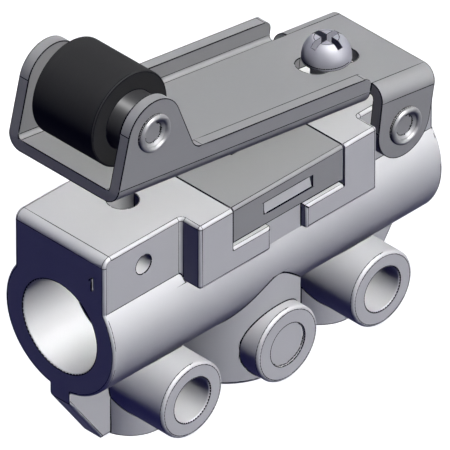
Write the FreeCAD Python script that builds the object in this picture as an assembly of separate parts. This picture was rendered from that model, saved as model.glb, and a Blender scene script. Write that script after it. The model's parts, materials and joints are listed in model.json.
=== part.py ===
import FreeCAD, Part
import math
import os

# Roller-lever pneumatic valve, three ports and two positions, in millimetres.
# X runs along the bore from the mouth to the lever's pivot, Z is up, and the side ports face -Y.
# The origin is under the middle of the body, on the plane of the foot columns.

# How far a cut reaches past the face that it opens
overshoot = 1.0

# Casting: barrel and top block
body_length = 84.2
bore_height = 27.7
barrel_radius = 13.95
barrel_edge_fillet = 0.5
top_above_bore = 20.0
block_half_width = 11.45
block_end_fillet = 1.8
saddle_half_length = 22.6
saddle_half_width = 16.3
saddle_above_bore = 6.3
cast_fillet = 0.6

# Casting: bosses, feet and web
port_pitch = 24.4
port_height = 10.6
boss_radius = 7.7
boss_inset = 0.2
blind_recess_depth = 0.5
foot_radius = 7.7
belly_radius = 13.7
belly_bottom = 2.9
belly_chamfer = 0.8
web_thickness = 4.9
web_fillet = 0.5
web_toe = 34.0
web_heel_height = 11.6

# Ports and passages
port_radius = 4.4
side_port_depth = 9.0
foot_port_depth = 8.0
mouth_chamfer = 0.25
passage_radius = 2.0
passage_offset = 2.0
exhaust_passage_radius = 2.5

# Bore
bore_radius = 9.3
waist_radius = 8.0
waist_front = -12.6
waist_rear = 15.6
circlip_groove_depth = 0.7
circlip_groove_width = 1.1

# Fixing holes
fixing_hole_x = 26.0
fixing_hole_radius = 2.95
fixing_hole_depth = 9.2
cross_hole_x = 32.1
cross_hole_drop = 5.5
cross_hole_radius = 1.95

# Cover and its recess, with drops measured from the top of the block
cover_half_length = 14.1
cover_inset = 0.15
cover_plate = 1.5
cover_skirt = 1.25
cover_skirt_drop = 7.4
cover_gap = 0.1
ledge_inner = 4.5
ledge_drop = 8.6
vent_slot_half_length = 6.2
vent_slot_drop = 5.15
vent_slot_height = 2.55
ledge_fillet = 0.5
felt_depth = 1.3
felt_slope_share = 0.58
felt_margin = 1.0
vent_hole_radius = 1.2
vent_hole_pitch = 5.0

# Rivets
rivet_radius = 2.5
rivet_head_radius = 3.8
rivet_head_side = 0.45
rivet_mouth_radius = 2.65
rivet_hollow_radius = 2.0
rivet_hollow_depth = 1.1

# Roller
roller_radius = 9.5
roller_near_end = 8.0
roller_far_end = 7.3
roller_hub_radius = 5.8
bush_far_radius = 3.7
roller_edge_radius = 0.25
roller_end_gap = 0.3
running_gap = 0.05

# Lever, drawn level about its pivot and then tilted
pivot_x = 32.0
pivot_wall = 2.8
rest_tilt = 8.5
stop_washer_thickness = 1.5
stop_gap = 0.25
sheet = 2.3
bend_inner_radius = 0.8
lever_half_width = 13.95
plate_front = 75.15
plate_rear = 7.1
flange_height = 6.15
flange_rear = 10.5
flange_end_radius = 1.8
rear_ear_front = 6.85
ear_to_barrel = 0.28
front_ear_radius = 6.55
front_ear_setback = 0.35
roller_ahead = 67.85
roller_to_plate = 1.3
ear_flank_slope = 60.5
ear_root_fillet = 3.2
screw_slot_ahead = 7.4
screw_slot_half_width = 3.25
screw_slot_travel = 3.6

# Stop screw
screw_radius = 2.5
screw_depth = 8.4
screw_head_radius = 4.65
screw_rim = 0.5
screw_dome_height = 3.9
screw_dome_fillet = 0.7
spacer_length = 4.15
recess_reach = 3.5
recess_half_width = 0.58
recess_corner = 0.65
recess_depth = 2.8
spacer_radius = 3.0
stop_washer_radius = 6.4

# Plunger and its guide
plunger_radius = 2.5
plunger_dome_radius = 4.0
plunger_gap = 0.12
plunger_nose_fillet = 0.8
guide_radius = 3.5
guide_drop = 5.1
guide_flange = 1.0
guide_across_flats = 8.0
well_radius = 3.4

# Bell crank
crank_x = 11.0
crank_drop = 9.7
crank_arm_thickness = 4.0
crank_arm_width = 2.0
crank_pad_radius = 1.8
crank_hub_radius = 2.4
crank_pin_radius = 1.5
crank_pin_reach = 8.5
prong_thickness = 1.3
prong_width = 2.6
prong_pad_radius = 1.9
prong_gap = 0.2
crank_slot_half_width = 4.5
crank_slot_rear = 13.9

# Spool and its seals
spool_radius = 3.5
spool_hollow_radius = 1.8
spool_front = -22.5
spool_rear = 28.4
spool_hollow_rear = 15.3
spool_port_place = 14.2
spool_port_radius = 0.8
neck_radius = 2.7
neck_gap = 0.1
spool_gap = 0.1
carrier_width = 3.0
seal_section = 1.6
fit_gap = 0.05
plug_front = -28.2
plug_rear = -25.0
spacer_wall = 1.4
window_radius = 2.4
circlip_thickness = 1.0
circlip_wall = 1.6
circlip_mouth = 3.0

# End cap, spring and foot plugs
cap_rear = 39.9
cap_skirt_wall = 1.6
cap_floor = 1.5
cap_recess_radius = 5.2
cap_skirt_front = 28.2
cap_body_front = 34.4
cap_vent_radius = 0.75
spring_wire_radius = 0.4
spring_mean_radius = 3.8
spring_turns = 5.0
spring_seat_radius = 4.9
spring_seat_thickness = 1.0
foot_plug_length = 6.0
foot_plug_inset = 1.0
foot_plug_socket_radius = 2.2
foot_plug_socket_depth = 3.0

# Places that follow from the sizes above
half_length = body_length / 2
block_top = bore_height + top_above_bore
saddle_underside = bore_height + saddle_above_bore
cross_hole_height = block_top - cross_hole_drop
cover_half_width = saddle_half_width - cover_inset
cover_skirt_bottom = block_top - cover_skirt_drop
ledge_top = block_top - ledge_drop
boss_face = saddle_half_width - boss_inset
vent_slot_bottom = block_top - vent_slot_drop
pivot_height = bore_height + bore_radius + pivot_wall + rivet_radius
plate_underside = block_top + stop_washer_thickness + stop_gap - pivot_height
flange_top = plate_underside + flange_height
roller_above = plate_underside + sheet + roller_to_plate + roller_radius
lever_inner = lever_half_width - sheet
barrel_side_height = math.sqrt(max(0, barrel_radius ** 2 - lever_inner ** 2))
rear_ear_radius = pivot_height - bore_height - barrel_side_height - ear_to_barrel
screw_head_base = block_top + stop_washer_thickness + spacer_length
guide_bottom = block_top - guide_drop
crank_height = bore_height + crank_drop

ex = FreeCAD.Vector(1, 0, 0)
ey = FreeCAD.Vector(0, 1, 0)
ez = FreeCAD.Vector(0, 0, 1)


def at(x, y, z):
    return FreeCAD.Vector(x, y, z)


def rod_x(radius, x0, x1, y=0.0, z=bore_height):
    return Part.makeCylinder(radius, x1 - x0, at(x0, y, z), ex)


def rod_y(radius, y0, y1, x, z):
    return Part.makeCylinder(radius, y1 - y0, at(x, y0, z), ey)


def rod_z(radius, z0, z1, x=0.0, y=0.0):
    return Part.makeCylinder(radius, z1 - z0, at(x, y, z0), ez)


def block(x0, x1, y0, y1, z0, z1):
    return Part.makeBox(x1 - x0, y1 - y0, z1 - z0, at(x0, y0, z0))


def ring_x(outer, inner, x0, x1):
    return rod_x(outer, x0, x1).cut(rod_x(inner, x0 - overshoot, x1 + overshoot))


def edges_where(shape, test):
    """The edges whose box passes the test."""
    return [edge for edge in shape.Edges if test(edge.BoundBox)]


def rounded(shape, radius, test):
    return shape.makeFillet(radius, edges_where(shape, test))


def near(a, b):
    return abs(a - b) < 0.01


def is_upright(box):
    return near(box.XLength, 0) and near(box.YLength, 0) and box.ZLength > cast_fillet


def outline_face(points):
    return Part.Face(Part.makePolygon(points + points[:1]))


def one_solid(shape):
    """The single solid of a boolean's result, with split faces merged."""
    merged = shape.removeSplitter()
    return merged.Solids[0] if len(merged.Solids) == 1 else merged


def top_block():
    """Block over the barrel, wider over the saddle, with cast edges."""
    bar = block(-half_length, half_length, -block_half_width, block_half_width, bore_height, block_top)
    saddle = block(-saddle_half_length, saddle_half_length, -saddle_half_width, saddle_half_width,
                   saddle_underside, block_top)
    saddle = rounded(saddle, cast_fillet, lambda b: is_upright(b) or near(b.ZMax, saddle_underside))
    form = bar.fuse(saddle).removeSplitter()
    form = rounded(form, block_end_fillet,
                   lambda b: near(b.ZMin, block_top) and near(b.XLength, 0)
                   and near(abs(b.XMin), half_length))
    rounded_end = half_length - block_end_fillet
    return rounded(form, cast_fillet,
                   lambda b: (is_upright(b) and near(abs(b.YMin), block_half_width))
                   or (near(b.ZMin, block_top)
                       and not (near(b.XLength, 0) and near(abs(b.XMin), rounded_end))))


def web():
    foot_inner = port_pitch - foot_radius / 2
    points = [at(-half_length, 0, bore_height), at(-half_length, 0, web_heel_height), at(-web_toe, 0, 0),
              at(-foot_inner, 0, 0), at(-foot_inner, 0, belly_bottom), at(foot_inner, 0, belly_bottom),
              at(foot_inner, 0, 0), at(web_toe, 0, 0), at(half_length, 0, web_heel_height),
              at(half_length, 0, bore_height)]
    side = outline_face(points)
    side.translate(ey * (-web_thickness / 2))
    return rounded(side.extrude(ey * web_thickness), web_fillet,
                   lambda b: near(b.YLength, 0) and b.ZMax < bore_height
                   and not near(b.XLength, 2 * foot_inner))


def side_boss(x):
    boss = rod_y(boss_radius, -boss_face, 0, x, port_height)
    return rounded(boss, cast_fillet, lambda b: near(b.YMax, -boss_face))


def casting():
    """Outside of the body, before any hole is made."""
    barrel = rounded(rod_x(barrel_radius, -half_length, half_length), barrel_edge_fillet,
                     lambda b: near(b.XLength, 0))
    form = barrel.fuse([recessed_block(), web()])
    belly = rod_z(belly_radius, belly_bottom, bore_height)
    belly = belly.makeChamfer(belly_chamfer, edges_where(belly, lambda b: near(b.ZMax, belly_bottom)))
    parts = [belly]
    for x in (-port_pitch, 0, port_pitch):
        parts.append(side_boss(x))
    for x in (-port_pitch, port_pitch):
        parts.append(rod_z(foot_radius, 0, bore_height, x))
    return form.fuse(parts)


def port_holes():
    """Side and foot ports with the passages that join them to the bore."""
    outside = boss_face + overshoot
    mouth = port_radius + mouth_chamfer
    holes = []
    for side in (-1, 1):
        x = side * port_pitch
        passage_x = side * (port_pitch - passage_offset)
        holes.append(rod_y(port_radius, -outside, side_port_depth - boss_face, x, port_height))
        holes.append(Part.makeCone(mouth, port_radius, mouth_chamfer, at(x, -boss_face, port_height), ey))
        holes.append(rod_y(passage_radius, -boss_face, 0, x, port_height))
        holes.append(rod_z(port_radius, -overshoot, foot_port_depth, x))
        holes.append(rod_z(passage_radius, 0, bore_height, passage_x))
    holes.append(rod_y(port_radius, -outside, blind_recess_depth - boss_face, 0, port_height))
    holes.append(rod_z(port_radius, 0, belly_bottom + foot_port_depth))
    holes.append(rod_z(exhaust_passage_radius, belly_bottom, bore_height))
    return holes


def bore_holes():
    """Stepped bore, with a groove for each circlip."""
    groove_radius = bore_radius + circlip_groove_depth
    mouth = bore_radius + mouth_chamfer
    return [rod_x(bore_radius, -half_length - overshoot, waist_front),
            Part.makeCone(mouth, bore_radius, mouth_chamfer, at(-half_length, 0, bore_height), ex),
            rod_x(waist_radius, waist_front - overshoot, waist_rear + overshoot),
            rod_x(bore_radius, waist_rear, half_length + overshoot),
            rod_x(groove_radius, plug_front - circlip_groove_width, plug_front),
            rod_x(groove_radius, cap_rear, cap_rear + circlip_groove_width)]


def cover_recess():
    """Pocket in the top and both sides of the block, which leaves two ledges on each side."""
    half = cover_half_length + cover_gap
    wall = cover_half_width - cover_skirt - running_gap
    outside = saddle_half_width + overshoot
    cuts = [block(-half, half, -outside, outside, block_top - cover_plate, block_top + overshoot)]
    for side in (-1, 1):
        y0, y1 = sorted((side * wall, side * outside))
        cuts.append(block(-half, half, y0, y1, ledge_top, block_top))
        cuts.append(block(-ledge_inner, ledge_inner, y0, y1,
                          saddle_underside - overshoot, ledge_top + overshoot))
    return cuts


def recessed_block():
    """Top block with the cover's pocket, its ledges rounded on the outside."""
    form = one_solid(top_block().cut(cover_recess()))
    return rounded(form, ledge_fillet,
                   lambda b: near(b.YLength, 0) and near(abs(b.YMin), saddle_half_width)
                   and near(b.ZMax, ledge_top))


def chamber():
    """Well of the plunger, slot of the crank, the crank pin's hole and the vents."""
    top = block_top - cover_plate
    cuts = [rod_z(well_radius, bore_height, top),
            rod_z(guide_radius + running_gap, guide_bottom, top + overshoot),
            block(0, crank_slot_rear, -crank_slot_half_width, crank_slot_half_width, bore_height, top),
            rod_y(crank_pin_radius + running_gap, -crank_pin_reach, saddle_half_width + overshoot,
                  crank_x, crank_height)]
    middle = vent_slot_bottom + vent_slot_height / 2
    for side in (-0.5, 0.5):
        cuts.append(rod_y(vent_hole_radius, -saddle_half_width, saddle_half_width,
                          side * vent_hole_pitch, middle))
    return cuts + [felt_space(side, running_gap) for side in (-1, 1)]


def felt_space(side, gap):
    """Strip behind a vent slot, grown by a gap."""
    wall = cover_half_width - cover_skirt - running_gap
    y0, y1 = sorted((side * (wall - felt_depth - gap), side * wall))
    half = vent_slot_half_length + felt_margin + gap
    reach = felt_margin / 2 + gap
    return block(-half, half, y0, y1, vent_slot_bottom - reach, vent_slot_bottom + vent_slot_height + reach)


def fixing_holes():
    """Open fixing holes at the front, the stop screw's and the pivot's at the rear."""
    floor = block_top - fixing_hole_depth
    top = block_top + overshoot
    side = block_half_width + overshoot
    return [rod_z(fixing_hole_radius, floor, top, -fixing_hole_x),
            rod_z(screw_radius + running_gap, floor, top, fixing_hole_x),
            rod_y(cross_hole_radius, -side, side, -cross_hole_x, cross_hole_height),
            rod_y(rivet_radius + running_gap, -side, side, pivot_x, pivot_height)]


def valve_body():
    body = casting()
    body = body.cut(bore_holes())
    body = body.cut(port_holes())
    body = body.cut(chamber())
    body = body.cut(fixing_holes())
    return one_solid(body)


def chamber_cover():
    inner = cover_half_width - cover_skirt
    shell = block(-cover_half_length, cover_half_length, -cover_half_width, cover_half_width,
                  cover_skirt_bottom, block_top)
    shell = rounded(shell, cast_fillet,
                    lambda b: near(b.ZMin, block_top) and near(b.YLength, 0))
    length = cover_half_length + overshoot
    width = cover_half_width + overshoot
    return one_solid(shell.cut([block(-length, length, -inner, inner,
                                      cover_skirt_bottom - overshoot, block_top - cover_plate),
                                block(-vent_slot_half_length, vent_slot_half_length, -width, width,
                                      vent_slot_bottom, vent_slot_bottom + vent_slot_height),
                                rod_z(guide_radius + running_gap, 0, block_top + overshoot)]))


def vent_felt(side):
    """Felt strip with a front that fills the slot and leans back towards its top."""
    wall = cover_half_width - cover_skirt - running_gap
    lean = cover_skirt * felt_slope_share
    half = vent_slot_half_length - running_gap
    bottom = vent_slot_bottom + running_gap
    top = vent_slot_bottom + vent_slot_height - running_gap
    front = outline_face([at(-half, side * wall, bottom), at(-half, side * cover_half_width, bottom),
                          at(-half, side * (cover_half_width - lean), top), at(-half, side * wall, top)])
    return one_solid(felt_space(side, 0).fuse(front.extrude(ex * (2 * half))))


def vent_felts():
    return Part.Compound([vent_felt(side) for side in (-1, 1)])


def lever_point(ahead, above, y=0.0):
    """A point of the lever at rest: ahead of the pivot along the plate, and above it."""
    tilt = math.radians(rest_tilt)
    x = pivot_x - ahead * math.cos(tilt) + above * math.sin(tilt)
    z = pivot_height + ahead * math.sin(tilt) + above * math.cos(tilt)
    return at(x, y, z)


def tilted(shape):
    """Turns a piece drawn with a level lever to the lever's rest."""
    turned = shape.copy()
    turned.rotate(at(pivot_x, 0, pivot_height), ey, rest_tilt)
    return turned


def level(ahead, above, y=0.0):
    return at(pivot_x - ahead, y, pivot_height + above)


def channel(side):
    """Bent sheet across the lever: a plate with its sides turned up (1) or down (-1)."""
    deep = 2 * roller_above
    low = plate_underside if side > 0 else plate_underside + sheet - deep
    high = plate_underside + deep if side > 0 else plate_underside + sheet
    x0 = pivot_x - plate_front
    x1 = pivot_x + plate_rear
    solid = block(x0, x1, -lever_half_width, lever_half_width, pivot_height + low, pivot_height + high)
    outside_z = pivot_height + (low if side > 0 else high)
    solid = rounded(solid, bend_inner_radius + sheet,
                    lambda b: near(b.ZMin, outside_z) and near(b.ZLength, 0) and near(b.YLength, 0))
    inside_z = outside_z + side * sheet
    z0, z1 = sorted((inside_z, inside_z + side * deep))
    hollow = block(x0 - overshoot, x1 + overshoot, -lever_inner, lever_inner, z0, z1)
    hollow = rounded(hollow, bend_inner_radius,
                     lambda b: near(b.ZMin, inside_z) and near(b.ZLength, 0) and near(b.YLength, 0))
    return solid.cut(hollow)


def side_prism(edges):
    """A closed side view, drawn at y = 0, carried across the whole lever."""
    face = Part.Face(Part.Wire(edges))
    reach = lever_half_width + overshoot
    face.translate(ey * -reach)
    return face.extrude(ey * (2 * reach))


def straight(points):
    return [Part.LineSegment(a, b).toShape() for a, b in zip(points, points[1:])]


def on_front_ear(angle):
    """A point of the front ear's round top, by its angle in degrees above dead ahead."""
    turn = math.radians(angle)
    return level(roller_ahead - front_ear_setback + front_ear_radius * math.cos(turn),
                 roller_above + front_ear_radius * math.sin(turn))


def front_outline():
    """Side view of the plate, the low flanges and the roller's ears."""
    low = plate_underside - overshoot
    base_rise = roller_above - plate_underside - sheet
    base_reach = plate_front - roller_ahead + front_ear_setback
    to_centre = math.degrees(math.atan2(base_rise, base_reach))
    lean = math.degrees(math.acos(front_ear_radius / math.hypot(base_rise, base_reach)))
    nose = on_front_ear(lean - to_centre)
    crown = on_front_ear(90)
    leave = on_front_ear(180 - (90 - ear_flank_slope))
    drop = leave.z - pivot_height - flange_top
    foot = at(leave.x + drop / math.tan(math.radians(ear_flank_slope)), 0, leave.z - drop)
    end = level(flange_rear, flange_top)
    edges = straight([level(plate_front, low), level(plate_front, plate_underside + sheet), nose])
    edges.append(Part.Arc(nose, crown, leave).toShape())
    edges += straight([leave, foot, end, level(flange_rear, low), level(plate_front, low)])
    prism = side_prism(edges)
    prism = rounded(prism, ear_root_fillet,
                    lambda b: near(b.XMin, foot.x) and near(b.XMax, foot.x) and near(b.ZMin, foot.z))
    return rounded(prism, flange_end_radius,
                   lambda b: near(b.XMin, end.x) and near(b.XMax, end.x) and near(b.ZMin, end.z)
                   and near(b.ZLength, 0))


def rear_outline():
    """Side view of the pivot's ears under the plate."""
    top = plate_underside + sheet + overshoot
    front = level(rear_ear_radius, 0)
    rear = level(-rear_ear_radius, 0)
    edges = straight([rear, level(-plate_rear, top), level(rear_ear_front, top), front])
    edges.append(Part.Arc(front, level(0, -rear_ear_radius), rear).toShape())
    return side_prism(edges)


def screw_slot():
    """Slot along the plate for the stop screw's shank, narrower than its head."""
    low = pivot_height
    high = block_top + roller_above
    front = pivot_x - screw_slot_ahead - screw_slot_travel
    rear = pivot_x - screw_slot_ahead + screw_slot_travel
    return [rod_z(screw_slot_half_width, low, high, front), rod_z(screw_slot_half_width, low, high, rear),
            block(front, rear, -screw_slot_half_width, screw_slot_half_width, low, high)]


def lever():
    front = channel(1).common(front_outline())
    rear = channel(-1).common(rear_outline())
    plate_half_width = lever_inner - bend_inner_radius
    strip_end = min(rear_ear_front, rear_ear_radius) - overshoot
    strip = block(pivot_x - flange_rear - overshoot, pivot_x - strip_end,
                  -plate_half_width, plate_half_width,
                  pivot_height + plate_underside, pivot_height + plate_underside + sheet)
    form = front.fuse([rear, strip])
    reach = lever_half_width + overshoot
    form = form.cut(screw_slot() + [rod_y(rivet_radius, -reach, reach, centre.x, centre.z)
                                    for centre in (level(0, 0), level(roller_ahead, roller_above))])
    return tilted(one_solid(form))


def rivet(centre):
    """Semi-tubular rivet through both ears, with both ends curled over."""
    face = lever_half_width
    shoulder = face + rivet_head_side
    curl = (rivet_head_radius - rivet_mouth_radius) / 2
    tip = shoulder + curl
    floor = tip - rivet_hollow_depth
    outside = [at(0, 0, 0), at(rivet_radius, 0, 0), at(rivet_radius, face, 0),
               at(rivet_head_radius, face, 0), at(rivet_head_radius, shoulder, 0)]
    inside = [at(rivet_mouth_radius, shoulder, 0), at(rivet_hollow_radius, floor, 0),
              at(0, floor, 0), at(0, 0, 0)]
    crown = at(rivet_head_radius - curl, tip, 0)
    edges = straight(outside) + [Part.Arc(outside[-1], crown, inside[0]).toShape()] + straight(inside)
    half = Part.Face(Part.Wire(edges)).revolve(at(0, 0, 0), ey, 360)
    whole = half.fuse(half.mirror(at(0, 0, 0), ey))
    whole.translate(centre)
    return one_solid(whole)


def roller():
    """Polymer tyre round the bush."""
    centre = lever_point(roller_ahead, roller_above)
    tyre = rod_y(roller_radius, -roller_near_end, roller_far_end, centre.x, centre.z)
    tyre = rounded(tyre, roller_edge_radius, lambda b: near(b.YLength, 0))
    return tyre.cut(rod_y(roller_hub_radius, -lever_inner, lever_inner, centre.x, centre.z))


def roller_bush():
    """Steel bush that shows at both ends of the tyre, thinner at the far one, and turns on the rivet."""
    end = lever_inner - roller_end_gap
    centre = lever_point(roller_ahead, roller_above)
    sleeve = rod_y(roller_hub_radius, -end, roller_far_end, centre.x, centre.z)
    sleeve = sleeve.fuse(rod_y(bush_far_radius, 0, end, centre.x, centre.z))
    hole = rod_y(rivet_radius + running_gap, -lever_inner, lever_inner, centre.x, centre.z)
    return one_solid(sleeve.cut(hole))


def cross_recess(floor, top):
    """Cross-shaped recess of a screw's head, with arms that narrow outwards."""
    points = []
    for quarter in range(4):
        turn = FreeCAD.Rotation(ez, 90 * quarter)
        for x, y in ((recess_reach, -recess_half_width), (recess_reach, recess_half_width),
                     (recess_corner, recess_corner)):
            points.append(turn.multVec(at(x, y, 0)) + at(fixing_hole_x, 0, floor))
    return outline_face(points).extrude(ez * (top - floor))


def stop_screw():
    x = fixing_hole_x
    dome_base = screw_head_base + screw_rim
    top = dome_base + screw_dome_height
    dome = Part.makeSphere(screw_head_radius, at(x, 0, dome_base))
    dome = dome.common(rod_z(screw_head_radius, dome_base, top, x))
    dome = rounded(dome, screw_dome_fillet, lambda b: near(b.ZMin, top))
    head = rod_z(screw_head_radius, screw_head_base, dome_base, x).fuse(dome)
    form = head.fuse(rod_z(screw_radius, block_top - screw_depth, dome_base, x))
    return one_solid(form.cut(cross_recess(top - recess_depth, top)))


def stop_washer():
    form = rod_z(stop_washer_radius, block_top, block_top + stop_washer_thickness, fixing_hole_x)
    return form.cut(rod_z(screw_radius + running_gap, 0, screw_head_base, fixing_hole_x))


def stop_spacer():
    form = rod_z(spacer_radius, block_top + stop_washer_thickness, screw_head_base, fixing_hole_x)
    return form.cut(rod_z(screw_radius + running_gap, 0, screw_head_base + overshoot, fixing_hole_x))


def underside_at_plunger(tilt):
    """Height of the plate's underside over the plunger, for a tilt in radians."""
    return pivot_height + pivot_x * math.tan(tilt) + plate_underside / math.cos(tilt)


tilt_angle = math.radians(rest_tilt)
dome_loss = plunger_dome_radius * (1 / math.cos(tilt_angle) - 1)
plunger_top = underside_at_plunger(tilt_angle) - dome_loss - plunger_gap
plunger_travel = plunger_top + plunger_gap - underside_at_plunger(0)
crank_half_angle = math.degrees(math.asin(plunger_travel / 2 / crank_x))
foot_offset = crank_drop * math.sin(math.radians(crank_half_angle))
spool_travel = 2 * foot_offset


def plunger():
    """Pin between the lever's plate and the crank's pad, domed at the top."""
    pad_rise = crank_x * math.sin(math.radians(crank_half_angle)) + crank_pad_radius
    bottom = crank_height + pad_rise + plunger_gap
    stem = rod_z(plunger_radius, bottom, plunger_top + overshoot)
    stem = rounded(stem, plunger_nose_fillet, lambda b: near(b.ZMax, bottom))
    dome_centre = plunger_top - plunger_dome_radius
    ball = Part.makeSphere(plunger_dome_radius, at(0, 0, dome_centre))
    return one_solid(stem.common(ball.fuse(rod_z(plunger_dome_radius, bottom, dome_centre))))


def plunger_guide():
    flange = hexagon(guide_across_flats / math.sqrt(3), 0, block_top).extrude(ez * guide_flange)
    form = flange.fuse(rod_z(guide_radius, guide_bottom, block_top))
    return one_solid(form.cut(rod_z(plunger_radius + running_gap, 0, block_top + guide_flange + overshoot)))


def bell_crank():
    """Drawn with its arm level, then turned to its rest."""
    half = crank_arm_thickness / 2
    inner = neck_radius + prong_gap
    outer = inner + prong_thickness
    pivot = at(crank_x, 0, crank_height)
    hub = rod_y(crank_hub_radius, -outer, outer, crank_x, crank_height)
    arm_base = crank_height - crank_arm_width / 2
    arm = block(0, crank_x, -half, half, arm_base, arm_base + crank_arm_width)
    pad = rod_y(crank_pad_radius, -half, half, 0, crank_height)
    parts = [arm, pad]
    for y0 in (-outer, inner):
        parts.append(block(crank_x - prong_width / 2, crank_x + prong_width / 2, y0, y0 + prong_thickness,
                           bore_height, crank_height))
        parts.append(rod_y(prong_pad_radius, y0, y0 + prong_thickness, crank_x, bore_height))
    form = hub.fuse(parts).cut(rod_y(crank_pin_radius + running_gap, -outer - overshoot, outer + overshoot,
                                     crank_x, crank_height))
    form = one_solid(form)
    form.rotate(pivot, ey, crank_half_angle)
    return form


def crank_pin():
    far_end = cover_half_width - cover_skirt - cover_inset
    return rod_y(crank_pin_radius, -crank_pin_reach + running_gap, far_end, crank_x, crank_height)


def spool():
    neck_middle = crank_x - foot_offset
    neck_half = prong_pad_radius + neck_gap
    form = rod_x(spool_radius, spool_front, spool_rear)
    outside = spool_radius + overshoot
    form = form.cut([ring_x(outside, neck_radius, neck_middle - neck_half, neck_middle + neck_half),
                     rod_x(spool_hollow_radius, spool_front - overshoot, spool_hollow_rear),
                     rod_z(spool_port_radius, bore_height - outside, bore_height + outside,
                           spool_port_place),
                     rod_y(spool_port_radius, -outside, outside, spool_port_place, bore_height)])
    return one_solid(form)


def carrier_places():
    """Front face of each seal carrier along the bore."""
    return {"front": waist_front - carrier_width, "middle": waist_rear,
            "rear": cap_skirt_front - carrier_width}


def seal_carrier(x0):
    outer = bore_radius - fit_gap
    inner = spool_radius + spool_gap
    middle = x0 + carrier_width / 2
    half = seal_section / 2 + fit_gap
    form = ring_x(outer, inner, x0, x0 + carrier_width)
    return form.cut([ring_x(outer + overshoot, outer - seal_section, middle - half, middle + half),
                     rod_x(inner + seal_section, middle - half, middle + half)])


def seal_ring(outer, inner, middle):
    """Ring seal of round section between two radii."""
    section = (outer - inner) / 2
    return Part.makeTorus(inner + section, section, at(middle, 0, bore_height), ex)


def spool_seals():
    inner = spool_radius + spool_gap
    return Part.Compound([seal_ring(inner + seal_section - fit_gap, inner, x0 + carrier_width / 2)
                          for x0 in carrier_places().values()])


def carrier_seals():
    outer = bore_radius - fit_gap
    return Part.Compound([seal_ring(outer, outer - seal_section + fit_gap, x0 + carrier_width / 2)
                          for x0 in carrier_places().values()])


def windowed_sleeve(x0, x1, window_x):
    outer = bore_radius - fit_gap
    form = ring_x(outer, outer - spacer_wall, x0, x1)
    return form.cut([rod_z(window_radius, 0, 2 * bore_height, window_x),
                     rod_y(window_radius, -bore_radius, bore_radius, window_x, bore_height)])


def front_spacer():
    return windowed_sleeve(plug_rear, waist_front - carrier_width, passage_offset - port_pitch)


def rear_spacer():
    return windowed_sleeve(waist_rear + carrier_width, cap_skirt_front - carrier_width,
                           port_pitch - passage_offset)


def sealed_groove(middle):
    outer = bore_radius - fit_gap
    half = seal_section / 2 + fit_gap
    return ring_x(outer + overshoot, outer - seal_section, middle - half, middle + half)


def plug_seal_place():
    return (plug_front + plug_rear) / 2


def cap_seal_place():
    return (cap_body_front + cap_rear) / 2


def front_plug():
    return rod_x(bore_radius - fit_gap, plug_front, plug_rear).cut(sealed_groove(plug_seal_place()))


def front_plug_seal():
    outer = bore_radius - fit_gap
    return seal_ring(outer, outer - seal_section + fit_gap, plug_seal_place())


def end_cap_seal():
    outer = bore_radius - fit_gap
    return seal_ring(outer, outer - seal_section + fit_gap, cap_seal_place())


def rear_end_cap():
    outer = bore_radius - fit_gap
    form = rod_x(outer, cap_skirt_front, cap_rear)
    return one_solid(form.cut([rod_x(outer - cap_skirt_wall, cap_skirt_front - overshoot, cap_body_front),
                               rod_x(cap_recess_radius, cap_skirt_front, cap_rear - cap_floor),
                               rod_x(cap_vent_radius, cap_skirt_front, cap_rear + overshoot),
                               sealed_groove(cap_seal_place())]))


def circlip(x0):
    """Internal circlip with a gap at the bottom, in its groove."""
    outer = bore_radius + circlip_groove_depth - fit_gap
    form = ring_x(outer, bore_radius - circlip_wall, x0, x0 + circlip_thickness)
    return one_solid(form.cut(block(x0 - overshoot, x0 + circlip_thickness + overshoot,
                                    -circlip_mouth / 2, circlip_mouth / 2, 0, bore_height)))


def front_circlip():
    return circlip(plug_front - circlip_thickness)


def rear_circlip():
    return circlip(cap_rear)


def spring_seat():
    """Flanged cup pressed on the spool's tail."""
    form = rod_x(spring_seat_radius, spool_rear, spool_rear + spring_seat_thickness)
    return form.fuse(rod_x(spring_mean_radius - spring_wire_radius - 2 * fit_gap,
                           spool_rear, spool_rear + 2 * spring_seat_thickness)).removeSplitter()


def return_spring():
    """Compression spring between its seat and the end cap's recess."""
    front = spool_rear + spring_seat_thickness + spring_wire_radius
    rear = cap_rear - cap_floor - spring_wire_radius
    helix = Part.makeHelix((rear - front) / spring_turns, rear - front, spring_mean_radius)
    start = helix.Vertexes[0].Point
    section = Part.Wire(Part.Circle(start, ey, spring_wire_radius).toShape())
    wire = Part.Wire(helix.Edges).makePipeShell([section], True, True)
    wire.rotate(at(0, 0, 0), ey, 90)
    wire.translate(at(front, 0, bore_height))
    return wire


def hexagon(corner_radius, x, z):
    return outline_face([at(x + corner_radius * math.cos(math.radians(60 * k)),
                            corner_radius * math.sin(math.radians(60 * k)), z) for k in range(6)])


def foot_port_plugs():
    plugs = []
    for x in (-port_pitch, port_pitch):
        top = foot_port_depth - foot_plug_inset
        bottom = top - foot_plug_length
        plug = rod_z(port_radius - fit_gap, bottom, top, x)
        socket = hexagon(foot_plug_socket_radius, x, bottom).extrude(ez * foot_plug_socket_depth)
        plugs.append(plug.cut(socket))
    return Part.Compound(plugs)


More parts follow.
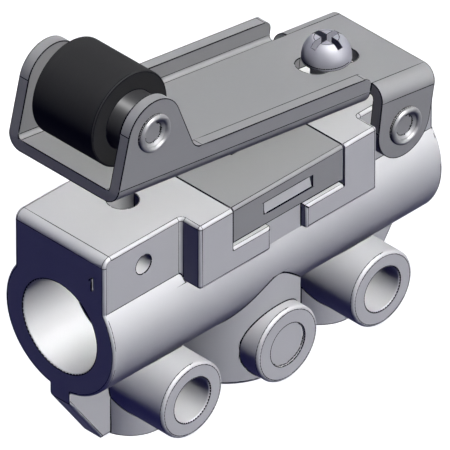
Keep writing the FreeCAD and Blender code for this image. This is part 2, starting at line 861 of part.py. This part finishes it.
places = carrier_places()
nodes = {
    "valve_body": valve_body(),
    "chamber_cover": chamber_cover(),
    "vent_felts": vent_felts(),
    "lever": lever(),
    "roller": roller(),
    "roller_bush": roller_bush(),
    "roller_rivet": rivet(lever_point(roller_ahead, roller_above)),
    "pivot_rivet": rivet(lever_point(0, 0)),
    "stop_screw": stop_screw(),
    "stop_washer": stop_washer(),
    "stop_spacer": stop_spacer(),
    "plunger": plunger(),
    "plunger_guide": plunger_guide(),
    "bell_crank": bell_crank(),
    "crank_pin": crank_pin(),
    "spool": spool(),
    "front_seal_carrier": seal_carrier(places["front"]),
    "middle_seal_carrier": seal_carrier(places["middle"]),
    "rear_seal_carrier": seal_carrier(places["rear"]),
    "spool_seals": spool_seals(),
    "carrier_seals": carrier_seals(),
    "front_spacer": front_spacer(),
    "rear_spacer": rear_spacer(),
    "front_plug": front_plug(),
    "front_plug_seal": front_plug_seal(),
    "front_circlip": front_circlip(),
    "spring_seat": spring_seat(),
    "return_spring": return_spring(),
    "rear_end_cap": rear_end_cap(),
    "end_cap_seal": end_cap_seal(),
    "rear_circlip": rear_circlip(),
    "foot_port_plugs": foot_port_plugs(),
}

os.makedirs("parts", exist_ok=True)
for name, shape in nodes.items():
    shape.exportStep("parts/" + name + ".step")
    print(name, "solids", len(shape.Solids), "valid", shape.isValid(), "volume", round(shape.Volume, 1))
print("plunger travel", round(plunger_travel, 4), "crank turn", round(2 * crank_half_angle, 4),
      "spool travel", round(spool_travel, 4))
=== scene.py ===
"""Finish and lighting of a roller-lever pneumatic valve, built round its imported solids."""

import json
import math

import bmesh
import bpy
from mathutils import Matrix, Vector


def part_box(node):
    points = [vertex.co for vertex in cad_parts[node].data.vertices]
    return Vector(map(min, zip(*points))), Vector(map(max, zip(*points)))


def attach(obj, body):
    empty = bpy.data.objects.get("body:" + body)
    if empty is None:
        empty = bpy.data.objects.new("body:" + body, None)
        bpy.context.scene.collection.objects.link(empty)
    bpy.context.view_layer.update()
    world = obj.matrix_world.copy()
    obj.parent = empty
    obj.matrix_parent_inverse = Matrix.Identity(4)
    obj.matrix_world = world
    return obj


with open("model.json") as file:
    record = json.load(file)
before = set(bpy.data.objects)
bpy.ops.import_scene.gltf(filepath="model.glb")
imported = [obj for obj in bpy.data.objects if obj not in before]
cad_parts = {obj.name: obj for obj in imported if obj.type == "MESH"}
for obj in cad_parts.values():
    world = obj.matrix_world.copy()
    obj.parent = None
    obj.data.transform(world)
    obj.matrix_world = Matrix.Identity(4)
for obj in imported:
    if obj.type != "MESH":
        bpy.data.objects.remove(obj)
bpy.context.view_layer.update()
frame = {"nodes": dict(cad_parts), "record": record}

MM = 0.001
WHITE = (1.0, 1.0, 1.0)
BLACK = (0.0, 0.0, 0.0)

# Camera: an isometric view from above, in front and on the side of the ports
VIEW_DIRECTION = Vector((-1, -1, 1)).normalized()
VIEW_CENTRE = Vector((0, 0, 29.1 * MM))
VIEW_WIDTH = 81.5 * MM
LENS = 1600.0
SENSOR = 36.0
CLIP_END = 20.0

# Lamps: where each one shines from, its level on a face square to it, its softness in degrees,
# and whether its light casts shadows and goes on from one surface to the next
KEY = Vector((0.03, -0.505, 0.863))
LAMPS = {
    "key": (KEY, 0.09, 30.0, True),
    "key_fill": (KEY, 0.965, 10.0, False),
    "back_fill": (Vector((0.5, 0.86, 0.06)), 0.55, 6.0, True),
}
GLOSSY_LAMP = "key"

# Lamps that only gloss shows: where from, level, softness in degrees, and the slots that show them
DULL_SLOTS = ("die_cast", "insert", "felt", "lever_sheet", "roller_polymer", "rivet_steel", "screw_steel",
              "stop_polymer", "seal_rubber")
BUSH_SLOTS = ("bush_steel",)
GLOSS_LAMPS = {
    "sheen": (Vector((-0.017, -0.421, 0.907)), 29.0, 6.0, DULL_SLOTS),
    "low_sheen": (Vector((0.214, -0.914, 0.344)), 7.0, 6.0, DULL_SLOTS),
    "bush_glint": (Vector((-0.128, 0.577, 0.806)), 6.25, 6.0, BUSH_SLOTS),
}

# World and floor: the glow of each for bounced light, and how the floor shows
AMBIENT = (0.0, 0.0, 0.05)
FLOOR_SIZE = 12.0
FLOOR_SHOWN = (0.93, 0.93, 0.93)
FLOOR_GLOW = (0.25, 0.25, 0.25)
FLOOR_FILL = (0.0, 0.0, 0.09)

# Lines along the edges: sharp edges, those of the rivets and of the screw, and where a fillet ends
HARD_LINE = 0.17 * MM
RIVET_LINE = 0.24 * MM
THIN_LINE = 0.07 * MM
SOFT_LINE = 0.09 * MM
LINE_COLOUR = (0.0, 0.0, 0.001, 1.0)

# Which edges get a line: those where faces meet at more than the angle, and smooth ones where the bends on
# the two sides, in radians per metre, differ by more than the ratio and the faster one isn't flat
HARD_ANGLE = math.radians(6)
SAME_CURVATURE = 1.35
FLAT_BEND = 1.0

# Which sharp edges get none: the inner ones of a mouth's chamfer, where both faces turn along the edge
ROUND_TURN = math.radians(0.5)
MOUTH_CHAMFER = 0.4 * MM

# Places are compared to so many digits of a metre; a height is at least tiny, and no line is far away
PLACE_DIGITS = 7
TINY = 1e-9
FAR_AWAY = 1.0

# Base colours, and the roughness that several finishes share
CAST_SHADE = (0.525, 0.525, 0.53)
SHEET_SHADE = (0.298, 0.298, 0.3)
ROLLER_SHADE = (0.037, 0.037, 0.038)
BUSH_SHADE = (0.052, 0.052, 0.054)
SCREW_SHADE = (0.4, 0.4, 0.45)
FELT_SHADE = (0.52, 0.52, 0.525)
POLYMER_SHADE = (0.85, 0.85, 0.84)
RUBBER_SHADE = (0.02, 0.02, 0.02)
SPACER_SHADE = (0.5, 0.5, 0.52)
PIN_SHADE = (0.6, 0.6, 0.62)
GUIDE_SHADE = (0.42, 0.42, 0.43)
CRANK_SHADE = (0.42, 0.42, 0.44)
SPOOL_SHADE = (0.7, 0.7, 0.72)
ALUMINIUM_SHADE = (0.6, 0.6, 0.62)
BRASS_SHADE = (0.58, 0.46, 0.25)
PLUG_BRASS_SHADE = (0.58, 0.47, 0.27)
CIRCLIP_SHADE = (0.08, 0.08, 0.09)
SPRING_SHADE = (0.45, 0.45, 0.47)
SATIN = 0.6
MACHINED = 0.35

# How deep the finest marks of machining are
FINE_DEPTH = 0.001 * MM
POLISHED_DEPTH = 0.0005 * MM

# How often streaks follow each other along X, Y and Z, per metre: turned rings, or the grain of rolled sheet
RINGS_ALONG_BORE = (9000.0, 60.0, 60.0)
RINGS_ALONG_AXLE = (60.0, 9000.0, 60.0)
RINGS_UPRIGHT = (60.0, 60.0, 9000.0)
ROLLED_ALONG_LEVER = (90.0, 5000.0, 5000.0)

# Noise: fine for bumps and streaks, broad for the slow change of a grained surface's shade
FINE_SCALE = 1.0
FINE_DETAIL = 3.0
STREAK_DETAIL = 2.0
BROAD_SCALE = 0.05
BROAD_DETAIL = 2.0

# Numeral cast on the front face of the block
NUMERAL_CENTRE = (-8.55 * MM, 41.47 * MM)
NUMERAL_HEIGHT = 2.8 * MM
NUMERAL_STROKE = 0.3 * MM
NUMERAL_FLAG = 0.45 * MM
NUMERAL_RELIEF = 0.5 * MM
NUMERAL_ROOT = 0.05 * MM


def aim(obj, direction):
    """Turns a lamp or camera so that it looks against the given direction."""
    obj.rotation_mode = "QUATERNION"
    obj.rotation_quaternion = direction.to_track_quat("Z", "Y")


def add_camera():
    data = bpy.data.cameras.new("camera")
    data.lens = LENS
    data.sensor_width = SENSOR
    data.clip_end = CLIP_END
    camera = bpy.data.objects.new("camera", data)
    bpy.context.scene.collection.objects.link(camera)
    camera.location = VIEW_CENTRE + VIEW_DIRECTION * (VIEW_WIDTH * LENS / SENSOR)
    aim(camera, VIEW_DIRECTION)
    bpy.context.scene.camera = camera


def add_lamp(name, direction, level, softness, travels):
    data = bpy.data.lights.new(name, "SUN")
    data.energy = level * math.pi
    data.angle = math.radians(softness)
    if not travels:
        data.use_shadow = False
        data.cycles.max_bounces = 0
    lamp = bpy.data.objects.new(name, data)
    bpy.context.scene.collection.objects.link(lamp)
    aim(lamp, direction.normalized())
    return lamp


def receivers(name, slots):
    """A collection of the pieces whose gloss shows a lamp."""
    group = bpy.data.collections.new(name + "_receivers")
    for subpart in frame["record"]["subparts"]:
        if subpart["material_slot"] in slots:
            group.objects.link(frame["nodes"][subpart["node"]])
    return group


def add_lamps():
    for name, settings in LAMPS.items():
        lamp = add_lamp(name, *settings)
        lamp.visible_glossy = name == GLOSSY_LAMP
    for name, (direction, level, softness, slots) in GLOSS_LAMPS.items():
        lamp = add_lamp(name, direction, level, softness, False)
        lamp.visible_diffuse = False
        lamp.light_linking.receiver_collection = receivers(name, slots)


def add_node(tree, kind, **settings):
    node = tree.nodes.new(kind)
    for name, value in settings.items():
        setattr(node, name, value)
    return node


def maths(tree, operation, *sources):
    node = add_node(tree, "ShaderNodeMath", operation=operation)
    for socket, source in zip(node.inputs, sources):
        if isinstance(source, (int, float)):
            socket.default_value = source
        else:
            tree.links.new(source, socket)
    return node.outputs[0]


def seen_or_mirrored(tree):
    """One where the ray comes from the camera, a mirror or glass, and nought where it is bounced light."""
    path = add_node(tree, "ShaderNodeLightPath").outputs
    seen = maths(tree, "MAXIMUM", path["Is Camera Ray"], path["Is Glossy Ray"])
    return maths(tree, "MAXIMUM", seen, path["Is Transmission Ray"])


def colour_by_ray(tree, seen, bounced, shown):
    """One colour for bounced light, and another where the surface is seen or mirrored."""
    mix = add_node(tree, "ShaderNodeMix", data_type="RGBA")
    mix.inputs["A"].default_value = (*bounced, 1)
    mix.inputs["B"].default_value = (*shown, 1)
    tree.links.new(seen, mix.inputs["Factor"])
    return mix.outputs["Result"]


def add_world():
    world = bpy.data.worlds.new("studio")
    bpy.context.scene.world = world
    world.use_nodes = True
    tree = world.node_tree
    colour = colour_by_ray(tree, seen_or_mirrored(tree), AMBIENT, WHITE)
    tree.links.new(colour, tree.nodes["Background"].inputs["Color"])


def floor_paper():
    """White paper that shows pale, keeps the shadow, and gives back only a faint cool light."""
    material = bpy.data.materials.new("floor_paper")
    material.use_nodes = True
    material.cycles.emission_sampling = "NONE"
    tree = material.node_tree
    tree.nodes.clear()
    out = add_node(tree, "ShaderNodeOutputMaterial")
    seen = seen_or_mirrored(tree)
    diffuse = add_node(tree, "ShaderNodeBsdfDiffuse")
    glow = add_node(tree, "ShaderNodeEmission")
    tree.links.new(colour_by_ray(tree, seen, BLACK, FLOOR_SHOWN), diffuse.inputs["Color"])
    tree.links.new(colour_by_ray(tree, seen, FLOOR_FILL, FLOOR_GLOW), glow.inputs["Color"])
    both = add_node(tree, "ShaderNodeAddShader")
    tree.links.new(diffuse.outputs["BSDF"], both.inputs[0])
    tree.links.new(glow.outputs["Emission"], both.inputs[1])
    tree.links.new(both.outputs["Shader"], out.inputs["Surface"])
    return material


def add_floor():
    half = FLOOR_SIZE / 2
    corners = [(-half, -half, 0), (half, -half, 0), (half, half, 0), (-half, half, 0)]
    mesh = bpy.data.meshes.new("floor")
    mesh.from_pydata(corners, [], [(0, 1, 2, 3)])
    mesh.materials.append(floor_paper())
    floor = bpy.data.objects.new("floor", mesh)
    bpy.context.scene.collection.objects.link(floor)


def place_key(mesh, vertex):
    return tuple(round(c, PLACE_DIGITS) for c in mesh.vertices[vertex].co)


def normal_at(mesh, corner):
    return Vector(mesh.corner_normals[corner].vector)


def height_above(mesh, ends, opposite):
    """The height of a triangle, from the edge between two of its corners to the third corner."""
    a, b, tip = (mesh.vertices[mesh.loops[c].vertex_index].co for c in (*ends, opposite))
    along = (b - a).normalized()
    return ((tip - a) - along * (tip - a).dot(along)).length


def bend_beside(mesh, ends, opposite):
    """How fast the surface turns away from an edge, in radians per metre."""
    at_edge = (normal_at(mesh, ends[0]) + normal_at(mesh, ends[1])) / 2
    turn = normal_at(mesh, opposite).angle(at_edge, 0)
    return turn / max(height_above(mesh, ends, opposite), TINY)


def is_fillet_end(mesh, pair):
    """Whether a smooth edge lies between faces that bend at clearly different rates."""
    slower, faster = sorted(bend_beside(mesh, *side) for side in pair)
    return faster >= slower * SAME_CURVATURE and faster >= FLAT_BEND


def is_chamfer_end(mesh, pair):
    """Whether an edge lies between two round faces, of which one is the narrow chamfer of a mouth."""
    for (first, second), _ in pair:
        if normal_at(mesh, first).angle(normal_at(mesh, second), 0) < ROUND_TURN:
            return False
    return min(height_above(mesh, *side) for side in pair) < MOUTH_CHAMFER


def triangle_edges(mesh):
    """Each edge, as its two vertices, with the triangles on it: the edge's corners and the opposite one."""
    edges = {}
    for polygon in mesh.polygons:
        corners = list(polygon.loop_indices)
        for k in range(3):
            ends = (corners[(k + 1) % 3], corners[(k + 2) % 3])
            vertices = frozenset(mesh.loops[c].vertex_index for c in ends)
            edges.setdefault(vertices, []).append((ends, corners[k]))
    return edges


def pair_by_place(mesh, edges):
    """Joins edges that have one triangle each and lie in the same place, where the mesh is split."""
    sides = {}
    for vertices, found in edges.items():
        key = vertices
        if len(found) == 1:
            key = frozenset(place_key(mesh, vertex) for vertex in vertices)
        sides.setdefault(key, []).extend(found)
    return sides


def mark_edges(node):
    """Stores, in each triangle, how far its points are from the edges that get a line."""
    mesh = node.data
    edges = triangle_edges(mesh)
    hard = [(FAR_AWAY,) * 3] * len(mesh.loops)
    soft = list(hard)
    for key, pair in pair_by_place(mesh, edges).items():
        if len(pair) != 2:
            continue
        first, second = (normal_at(mesh, ends[0]) + normal_at(mesh, ends[1]) for ends, _ in pair)
        is_sharp = first.angle(second, 0) > HARD_ANGLE
        is_inside_face = len(edges.get(key, ())) == 2
        if is_sharp and not is_chamfer_end(mesh, pair):
            put_line(mesh, hard, pair)
        if not is_sharp and not is_inside_face and is_fillet_end(mesh, pair):
            put_line(mesh, soft, pair)
    for name, values in (("hard_edge", hard), ("soft_edge", soft)):
        attribute = mesh.attributes.new(name, "FLOAT_VECTOR", "CORNER")
        attribute.data.foreach_set("vector", [c for value in values for c in value])


def put_line(mesh, store, pair):
    """Gives both triangles their heights above the edge, each in its first free place of three."""
    for ends, opposite in pair:
        place = 0
        while store[ends[0]][place] != FAR_AWAY or store[opposite][place] != FAR_AWAY:
            place += 1
        height = height_above(mesh, ends, opposite)
        for corner, value in ((ends[0], 0.0), (ends[1], 0.0), (opposite, height)):
            heights = list(store[corner])
            heights[place] = value
            store[corner] = tuple(heights)


class Group:
    """A shader node group under construction, with named inputs and outputs."""

    SOCKETS = {"value": "NodeSocketFloat", "vector": "NodeSocketVector"}

    def __init__(self, name, inputs, outputs):
        self.tree = bpy.data.node_groups.new(name, "ShaderNodeTree")
        for label, kind, default in inputs:
            socket = self.tree.interface.new_socket(label, in_out="INPUT", socket_type=self.SOCKETS[kind])
            socket.default_value = default
        for label in outputs:
            self.tree.interface.new_socket(label, in_out="OUTPUT", socket_type=self.SOCKETS["value"])
        self.given = self.tree.nodes.new("NodeGroupInput").outputs
        self.result = self.tree.nodes.new("NodeGroupOutput").inputs

    def node(self, kind, **settings):
        return add_node(self.tree, kind, **settings)

    def link(self, source, target):
        self.tree.links.new(source, target)

    def maths(self, operation, *sources):
        return maths(self.tree, operation, *sources)

    def noise(self, place, scale, detail):
        node = self.node("ShaderNodeTexNoise")
        node.inputs["Scale"].default_value = scale
        node.inputs["Detail"].default_value = detail
        self.link(place, node.inputs["Vector"])
        return node.outputs["Fac"]

    def put_out_shade(self, noise):
        """A shade that swings about one by the given unevenness."""
        centred = self.maths("SUBTRACT", noise, 0.5)
        swing = self.maths("MULTIPLY", centred, self.given["Unevenness"])
        self.link(self.maths("ADD", swing, 1.0), self.result["Shade"])


def edge_line_group():
    """Mask of the thin lines along the edges, from the heights stored in each triangle."""
    group = Group("edge_line",
                  [("Hard Width", "value", HARD_LINE), ("Soft Width", "value", SOFT_LINE)],
                  ["Line"])
    masks = []
    for name, width in (("hard_edge", "Hard Width"), ("soft_edge", "Soft Width")):
        attribute = group.node("ShaderNodeAttribute", attribute_name=name, attribute_type="GEOMETRY")
        split = group.node("ShaderNodeSeparateXYZ")
        group.link(attribute.outputs["Vector"], split.inputs[0])
        nearer = group.maths("MINIMUM", split.outputs[0], split.outputs[1])
        nearest = group.maths("MINIMUM", nearer, split.outputs[2])
        masks.append(group.maths("LESS_THAN", nearest, group.given[width]))
    group.link(group.maths("MAXIMUM", *masks), group.result["Line"])
    return group.tree


def grain_group():
    """Fine unevenness of a blasted, moulded or ground surface."""
    group = Group("grain",
                  [("Size", "value", MM), ("Unevenness", "value", 0.0)],
                  ["Height", "Shade"])
    place = group.node("ShaderNodeTexCoord")
    size = group.node("ShaderNodeCombineXYZ")
    for socket in size.inputs:
        group.link(group.given["Size"], socket)
    scaled = group.node("ShaderNodeVectorMath", operation="DIVIDE")
    group.link(place.outputs["Object"], scaled.inputs[0])
    group.link(size.outputs[0], scaled.inputs[1])
    group.link(group.noise(scaled.outputs[0], FINE_SCALE, FINE_DETAIL), group.result["Height"])
    group.put_out_shade(group.noise(scaled.outputs[0], BROAD_SCALE, BROAD_DETAIL))
    return group.tree


def streak_group():
    """Fine streaks: turned rings, or the grain of rolled sheet."""
    group = Group("streaks",
                  [("Across", "vector", (1.0, 1.0, 1.0)), ("Unevenness", "value", 0.0)],
                  ["Height", "Shade"])
    place = group.node("ShaderNodeTexCoord")
    stretched = group.node("ShaderNodeVectorMath", operation="MULTIPLY")
    group.link(place.outputs["Object"], stretched.inputs[0])
    group.link(group.given["Across"], stretched.inputs[1])
    noise = group.noise(stretched.outputs[0], FINE_SCALE, STREAK_DETAIL)
    group.link(noise, group.result["Height"])
    group.put_out_shade(noise)
    return group.tree


EDGE_LINE = edge_line_group()
GRAIN = grain_group()
STREAKS = streak_group()


class Finish:
    """One material: a base colour, an unevenness, and lines along the edges."""

    def __init__(self, name, colour, roughness, metallic=0.0, specular=0.5, line=HARD_LINE):
        self.material = bpy.data.materials.new(name)
        self.material.use_nodes = True
        self.tree = self.material.node_tree
        self.shader = self.tree.nodes["Principled BSDF"]
        self.shader.inputs["Roughness"].default_value = roughness
        self.shader.inputs["Specular IOR Level"].default_value = specular
        self.colour = (*colour, 1.0)
        self.metallic = metallic
        self.line = line

    def placed(self, group_tree, **values):
        node = add_node(self.tree, "ShaderNodeGroup", node_tree=group_tree)
        for label, value in values.items():
            node.inputs[label.replace("_", " ")].default_value = value
        return node

    def textured(self, node, depth):
        """Joins a group's height to the bump, and its shade and the edge lines to the base colour."""
        bump = add_node(self.tree, "ShaderNodeBump")
        bump.inputs["Distance"].default_value = depth
        bump.inputs["Strength"].default_value = 1.0
        self.tree.links.new(node.outputs["Height"], bump.inputs["Height"])
        self.tree.links.new(bump.outputs["Normal"], self.shader.inputs["Normal"])
        tint = add_node(self.tree, "ShaderNodeMix", data_type="RGBA", blend_type="MULTIPLY")
        tint.inputs["Factor"].default_value = 1.0
        tint.inputs["A"].default_value = self.colour
        self.tree.links.new(node.outputs["Shade"], tint.inputs["B"])
        line = self.placed(EDGE_LINE, Hard_Width=self.line).outputs["Line"]
        drawn = add_node(self.tree, "ShaderNodeMix", data_type="RGBA")
        drawn.inputs["B"].default_value = LINE_COLOUR
        self.tree.links.new(tint.outputs["Result"], drawn.inputs["A"])
        self.tree.links.new(line, drawn.inputs["Factor"])
        self.tree.links.new(drawn.outputs["Result"], self.shader.inputs["Base Color"])
        self.link_metallic(line)
        return self.material

    def link_metallic(self, line):
        """A line is a black metal, which keeps it free of gloss."""
        metallic = maths(self.tree, "MAXIMUM", line, self.metallic)
        self.tree.links.new(metallic, self.shader.inputs["Metallic"])


def grained(name, colour, size, unevenness, depth, **more):
    finish = Finish(name, colour, **more)
    return finish.textured(finish.placed(GRAIN, Size=size, Unevenness=unevenness), depth)


def streaked(name, colour, across, unevenness, depth=FINE_DEPTH, **more):
    finish = Finish(name, colour, **more)
    return finish.textured(finish.placed(STREAKS, Across=across, Unevenness=unevenness), depth)


def die_cast():
    """Blasted casting with a fine, shallow grain."""
    return grained("die_cast", CAST_SHADE, size=0.35 * MM, unevenness=0.03, depth=0.004 * MM,
                   roughness=SATIN, specular=0.21)


def insert():
    """Cover let into the block, nearly without gloss."""
    return grained("insert", SHEET_SHADE, size=0.5 * MM, unevenness=0.03, depth=0.002 * MM,
                   roughness=0.7, specular=0.09)


def felt():
    """Pressed pale felt behind the vent slots."""
    return grained("felt", FELT_SHADE, size=0.12 * MM, unevenness=0.1, depth=0.01 * MM,
                   roughness=0.95, specular=0.02)


def lever_sheet():
    """Rolled sheet steel with its grain along the lever."""
    return streaked("lever_sheet", SHEET_SHADE, ROLLED_ALONG_LEVER, unevenness=0.04,
                    roughness=SATIN, specular=0.11)


def roller_polymer():
    """Black tyre, turned to size."""
    return streaked("roller_polymer", ROLLER_SHADE, RINGS_ALONG_AXLE, unevenness=0.15,
                    roughness=SATIN, specular=0.008)


def bush_steel():
    """Dark turned hub inside the tyre."""
    return streaked("bush_steel", BUSH_SHADE, RINGS_ALONG_AXLE, unevenness=0.1,
                    roughness=0.45, specular=0.06)


def rivet_steel():
    """Rivet with a curled rim that shines."""
    return streaked("rivet_steel", SHEET_SHADE, RINGS_ALONG_AXLE, unevenness=0.05,
                    roughness=0.48, specular=0.2, line=RIVET_LINE)


def screw_steel():
    """Plated screw with a domed head."""
    return streaked("screw_steel", SCREW_SHADE, RINGS_UPRIGHT, unevenness=0.04, depth=POLISHED_DEPTH,
                    roughness=0.55, specular=0.13, line=THIN_LINE)


def stop_polymer():
    """White washer on the block, round the screw's spacer."""
    return grained("stop_polymer", POLYMER_SHADE, size=0.4 * MM, unevenness=0.05, depth=0.002 * MM,
                   roughness=0.5)


def spacer_steel():
    """Spacer between the block and the screw's head."""
    return streaked("spacer_steel", SPACER_SHADE, RINGS_UPRIGHT, unevenness=0.1,
                    roughness=MACHINED, metallic=0.8)


def pin_steel():
    """Ground plunger, and the crank's pin."""
    return streaked("pin_steel", PIN_SHADE, RINGS_UPRIGHT, unevenness=0.05, depth=POLISHED_DEPTH,
                    roughness=0.25, metallic=0.9)


def guide_steel():
    """Turned guide bush with its hexagon."""
    return streaked("guide_steel", GUIDE_SHADE, RINGS_UPRIGHT, unevenness=0.1,
                    roughness=MACHINED, metallic=0.9)


def crank_steel():
    """Sintered bell crank."""
    return grained("crank_steel", CRANK_SHADE, size=0.3 * MM, unevenness=0.1, depth=0.004 * MM,
                   roughness=0.5, metallic=0.8)


def spool_aluminium():
    """Finely turned spool and spring seat."""
    return streaked("spool_aluminium", SPOOL_SHADE, RINGS_ALONG_BORE, unevenness=0.05,
                    roughness=0.3, metallic=0.9)


def carrier_aluminium():
    """Turned seal carriers."""
    return streaked("carrier_aluminium", ALUMINIUM_SHADE, RINGS_ALONG_BORE, unevenness=0.08,
                    roughness=MACHINED, metallic=0.9)


def seal_rubber():
    """Black seals."""
    return grained("seal_rubber", RUBBER_SHADE, size=0.2 * MM, unevenness=0.2, depth=0.002 * MM,
                   roughness=SATIN)


def spacer_brass():
    """Turned spacer sleeves between the carriers."""
    return streaked("spacer_brass", BRASS_SHADE, RINGS_ALONG_BORE, unevenness=0.08,
                    roughness=MACHINED, metallic=0.9)


def plug_aluminium():
    """Dull turned front plug and rear end cap."""
    return streaked("plug_aluminium", ALUMINIUM_SHADE, RINGS_ALONG_BORE, unevenness=0.05,
                    roughness=MACHINED, metallic=0.5)


def circlip_steel():
    """Blackened circlips."""
    return grained("circlip_steel", CIRCLIP_SHADE, size=0.3 * MM, unevenness=0.1, depth=FINE_DEPTH,
                   roughness=0.4, metallic=0.5)


def spring_steel():
    """Drawn wire of the return spring."""
    return grained("spring_steel", SPRING_SHADE, size=0.3 * MM, unevenness=0.1, depth=FINE_DEPTH,
                   roughness=MACHINED, metallic=0.9)


def foot_plug_brass():
    """Turned plugs of the two foot ports."""
    return streaked("foot_plug_brass", PLUG_BRASS_SHADE, RINGS_UPRIGHT, unevenness=0.08,
                    roughness=MACHINED, metallic=0.9)


FINISHES = (die_cast, insert, felt, lever_sheet, roller_polymer, bush_steel, rivet_steel, screw_steel,
            stop_polymer, spacer_steel, pin_steel, guide_steel, crank_steel, spool_aluminium,
            carrier_aluminium, seal_rubber, spacer_brass, plug_aluminium, circlip_steel, spring_steel,
            foot_plug_brass)


def dress_nodes():
    """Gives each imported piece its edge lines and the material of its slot."""
    made = {finish.__name__: finish() for finish in FINISHES}
    for subpart in frame["record"]["subparts"]:
        node = frame["nodes"][subpart["node"]]
        mark_edges(node)
        node.data.materials.clear()
        node.data.materials.append(made[subpart["material_slot"]])
    return made


def cast_numeral(material):
    """A plain numeral one, standing proud of the block's front face."""
    middle_y, middle_z = NUMERAL_CENTRE
    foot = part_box("valve_body")[0].x + NUMERAL_ROOT
    half = NUMERAL_HEIGHT / 2
    stem = NUMERAL_STROKE / 2
    tip = stem + NUMERAL_FLAG
    shoulder = half - NUMERAL_FLAG
    outline = [(-stem, -half), (stem, -half), (stem, shoulder), (tip, shoulder - NUMERAL_FLAG),
               (tip, shoulder), (stem / 2, half), (-stem, half)]
    shape = bmesh.new()
    face = shape.faces.new([shape.verts.new((foot, middle_y + y, middle_z + z)) for y, z in outline])
    raised = bmesh.ops.extrude_face_region(shape, geom=[face])
    moved = [v for v in raised["geom"] if isinstance(v, bmesh.types.BMVert)]
    bmesh.ops.translate(shape, verts=moved, vec=(-NUMERAL_RELIEF, 0, 0))
    bmesh.ops.recalc_face_normals(shape, faces=shape.faces)
    bmesh.ops.triangulate(shape, faces=shape.faces)
    mesh = bpy.data.meshes.new("block_numeral")
    shape.to_mesh(mesh)
    shape.free()
    mesh.materials.append(material)
    numeral = bpy.data.objects.new("block_numeral", mesh)
    mark_edges(numeral)
    bpy.context.scene.collection.objects.link(numeral)
    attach(numeral, "housing")


bpy.context.scene.view_settings.view_transform = "Standard"
add_camera()
add_lamps()
add_world()
add_floor()
made = dress_nodes()
cast_numeral(made["die_cast"])
